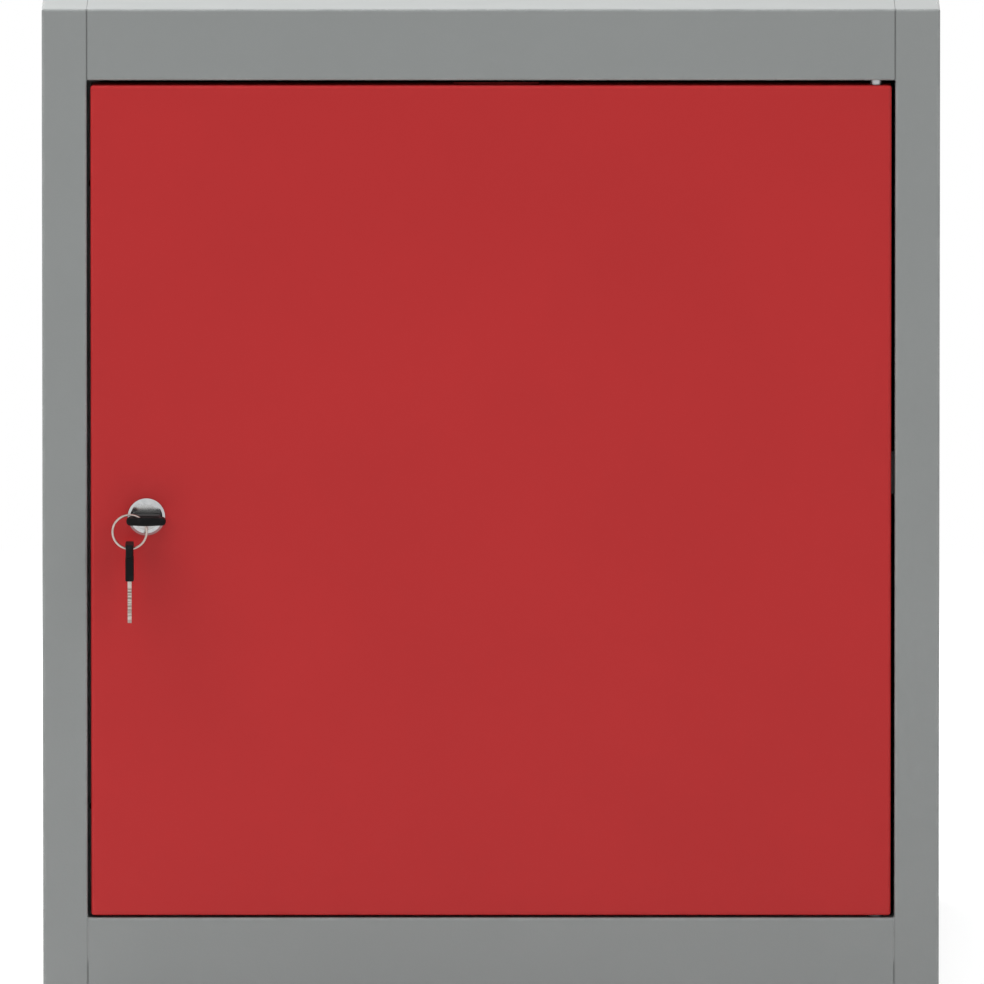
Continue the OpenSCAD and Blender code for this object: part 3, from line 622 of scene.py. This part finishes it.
dress(nickel_plate("nickel key blade", (1, 0.08, 1)), "key_blade")
dress(nickel_plate("nickel spare blade", (1, 1, 0.08)), "spare_key_blade")
mould_bow("key_bow", "key",
          key_black("black bow", lambda finish: finish.z.near(LOCK_Z, PARTING_WIDTH)))
mould_bow("spare_key_bow", "spare_key",
          key_black("black spare bow", lambda finish: finish.x.near(RING_X, PARTING_WIDTH)))

# ---- Key ring ----
# A split ring: two close turns of flattened, nickel-plated spring wire. It hangs from the end
# of the key in the lock and carries the spare key.

RING_Y = -254.5
RING_Z = 274.352
RING_R = 9.5
WIRE_HALF = 0.6
WIRE_FLAT = 0.45
RING_PITCH = 0.92
RING_STEPS = 96
RING_ENDS = math.radians(215)


def wind_ring():
    start_y = RING_Y - RING_PITCH
    bpy.ops.object.select_all(action="DESELECT")
    bpy.ops.mesh.primitive_circle_add(vertices=16, radius=WIRE_HALF * MM,
                                      location=(RING_X * MM, start_y * MM, RING_Z * MM))
    ring = bpy.context.object
    bpy.ops.object.mode_set(mode="EDIT")
    bpy.ops.mesh.select_all(action="SELECT")
    bpy.ops.transform.resize(value=(1, WIRE_FLAT / WIRE_HALF, 1))
    bpy.ops.transform.translate(value=(RING_R * MM, 0, 0))
    bpy.ops.object.mode_set(mode="OBJECT")
    winding = ring.modifiers.new("winding", "SCREW")
    winding.axis = "Y"
    winding.angle = 2 * math.pi
    winding.iterations = 2
    winding.screw_offset = RING_PITCH * MM
    winding.steps = winding.render_steps = RING_STEPS
    bpy.ops.object.modifier_apply(modifier=winding.name)
    bpy.ops.object.mode_set(mode="EDIT")
    bpy.ops.mesh.select_all(action="SELECT")
    bpy.ops.mesh.fill_holes(sides=0)
    ring.name = "split_ring"
    close_up(ring, nickel_plate("nickel ring", (1, 1, 1)), 40)
    bpy.ops.object.transform_apply(location=True, rotation=True, scale=True)
    # The wire's ends are turned to the upper left.
    centre = Matrix.Translation((RING_X * MM, RING_Y * MM, RING_Z * MM))
    ring.data.transform(centre @ Matrix.Rotation(RING_ENDS, 4, "Y") @ centre.inverted())
    return ring


split_ring = wind_ring()
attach(split_ring, "key_ring")
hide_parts("key_ring")

# ---- Studio ----
# A plain white floor and a white room, one large soft lamp high on the left, one on each side
# in front, and a long lens that looks slightly down on the cabinet.

FLOOR_SIZE = 90
FLOOR_WHITE = (0.80, 0.80, 0.80, 1)
FLOOR_BRIGHT = (2.3, 2.3, 2.3, 1)
FLOOR_SHARE = (0.6, 1.0)
FLOOR_FADE = (0.9, 1.9)
WHITE = (1, 1, 1, 1)
ROOM_LIGHT = 0.5
CAMERA_TILT = math.radians(7)
CAMERA_AWAY = 20.0
CAMERA_AIM = (0.0006, DOOR_FRONT * MM, 0.2943)
PICTURE_PX = 984
PX_PER_METRE = 1794.5
SENSOR = 36


def studio_node(tree, kind, settings, sockets):
    made = tree.nodes.new(kind)
    for name, value in settings.items():
        setattr(made, name, value)
    for name, value in sockets.items():
        if isinstance(value, bpy.types.NodeSocket):
            tree.links.new(value, made.inputs[name])
        else:
            made.inputs[name].default_value = value
    return made


def to_the_eye(tree, plain, seen_as):
    """What the camera and reflections see, in place of what lights the cabinet."""
    path = studio_node(tree, "ShaderNodeLightPath", {}, {})
    seen = path.outputs["Is Camera Ray"]
    for ray in ("Is Glossy Ray", "Is Transmission Ray"):
        seen = studio_node(tree, "ShaderNodeMath", {"operation": "MAXIMUM"},
                           {0: seen, 1: path.outputs[ray]}).outputs[0]
    return studio_node(tree, "ShaderNodeMixShader", {},
                       {0: seen, 1: plain.outputs[0], 2: seen_as.outputs[0]}).outputs[0]


def lay_floor():
    """To the eye the floor is overexposed, so only the shadow close to the cabinet shows on it.
    Reflections show it as plain white."""
    bpy.ops.object.select_all(action="DESELECT")
    bpy.ops.mesh.primitive_plane_add(size=FLOOR_SIZE, location=(0, 0, 0))
    floor = bpy.context.object
    floor.name = "studio_floor"
    paint = bpy.data.materials.new("white floor")
    paint.use_nodes = True
    tree = paint.node_tree
    tree.nodes.clear()
    place = studio_node(tree, "ShaderNodeTexCoord", {}, {}).outputs["Object"]
    away = studio_node(tree, "ShaderNodeVectorMath", {"operation": "LENGTH"},
                       {0: place}).outputs["Value"]
    share = studio_node(tree, "ShaderNodeMapRange", {"interpolation_type": "SMOOTHSTEP"},
                        {"Value": away, "From Min": FLOOR_FADE[0], "From Max": FLOOR_FADE[1],
                         "To Min": FLOOR_SHARE[0], "To Max": FLOOR_SHARE[1]}).outputs[0]
    mirrored = studio_node(tree, "ShaderNodeLightPath", {}, {}).outputs["Is Glossy Ray"]
    share = studio_node(tree, "ShaderNodeMath", {"operation": "MAXIMUM"},
                        {0: share, 1: mirrored}).outputs[0]
    plain = studio_node(tree, "ShaderNodeBsdfDiffuse", {}, {"Color": FLOOR_WHITE})
    bright = studio_node(tree, "ShaderNodeBsdfDiffuse", {}, {"Color": FLOOR_BRIGHT})
    white = studio_node(tree, "ShaderNodeEmission", {}, {"Color": WHITE, "Strength": 1})
    seen_as = studio_node(tree, "ShaderNodeMixShader", {},
                          {0: share, 1: bright.outputs[0], 2: white.outputs[0]})
    studio_node(tree, "ShaderNodeOutputMaterial", {}, {"Surface": to_the_eye(tree, plain, seen_as)})
    floor.data.materials.append(paint)


def light_room():
    room = bpy.data.worlds.new("white room")
    room.use_nodes = True
    tree = room.node_tree
    tree.nodes.clear()
    plain = studio_node(tree, "ShaderNodeBackground", {}, {"Color": WHITE, "Strength": ROOM_LIGHT})
    white = studio_node(tree, "ShaderNodeBackground", {}, {"Color": WHITE, "Strength": 1})
    studio_node(tree, "ShaderNodeOutputWorld", {}, {"Surface": to_the_eye(tree, plain, white)})
    bpy.context.scene.world = room


def hang_softbox(name, place, aim, width, height, watts):
    """A soft lamp. Metal and glossy paint mirror the white room and not the lamp."""
    lamp = bpy.data.lights.new(name, "AREA")
    lamp.shape = "RECTANGLE"
    lamp.size, lamp.size_y = width, height
    lamp.energy = watts
    holder = bpy.data.objects.new(name, lamp)
    bpy.context.scene.collection.objects.link(holder)
    holder.location = place
    holder.rotation_mode = "QUATERNION"
    holder.rotation_quaternion = (Vector(aim) - Vector(place)).to_track_quat("-Z", "Y")
    holder.visible_camera = False
    holder.visible_glossy = False


lay_floor()
light_room()
hang_softbox("lamp high on the left", (-0.8, 0.0, 2.4), (0, 0, 0.56), 2.3, 2.1, 98)
hang_softbox("lamp in front on the left", (-2.6, -3.4, 1.4), (0, 0, 0.2), 2.4, 2.0, 19.3)
hang_softbox("lamp in front on the right", (2.1, -2.5, 1.3), (0.05, 0, 0.1), 2.2, 2.0, 25.5)

camera = bpy.data.cameras.new("camera")
camera.sensor_width = SENSOR
camera.lens = PX_PER_METRE * CAMERA_AWAY * SENSOR / PICTURE_PX
camera.clip_start = 0.5
camera.clip_end = 100
viewer = bpy.data.objects.new("camera", camera)
bpy.context.scene.collection.objects.link(viewer)
viewer.location = (CAMERA_AIM[0], CAMERA_AIM[1] - CAMERA_AWAY * math.cos(CAMERA_TILT),
                   CAMERA_AIM[2] + CAMERA_AWAY * math.sin(CAMERA_TILT))
viewer.rotation_euler = (math.pi / 2 - CAMERA_TILT, 0, 0)
bpy.context.scene.camera = viewer
bpy.context.scene.view_settings.view_transform = "Standard"
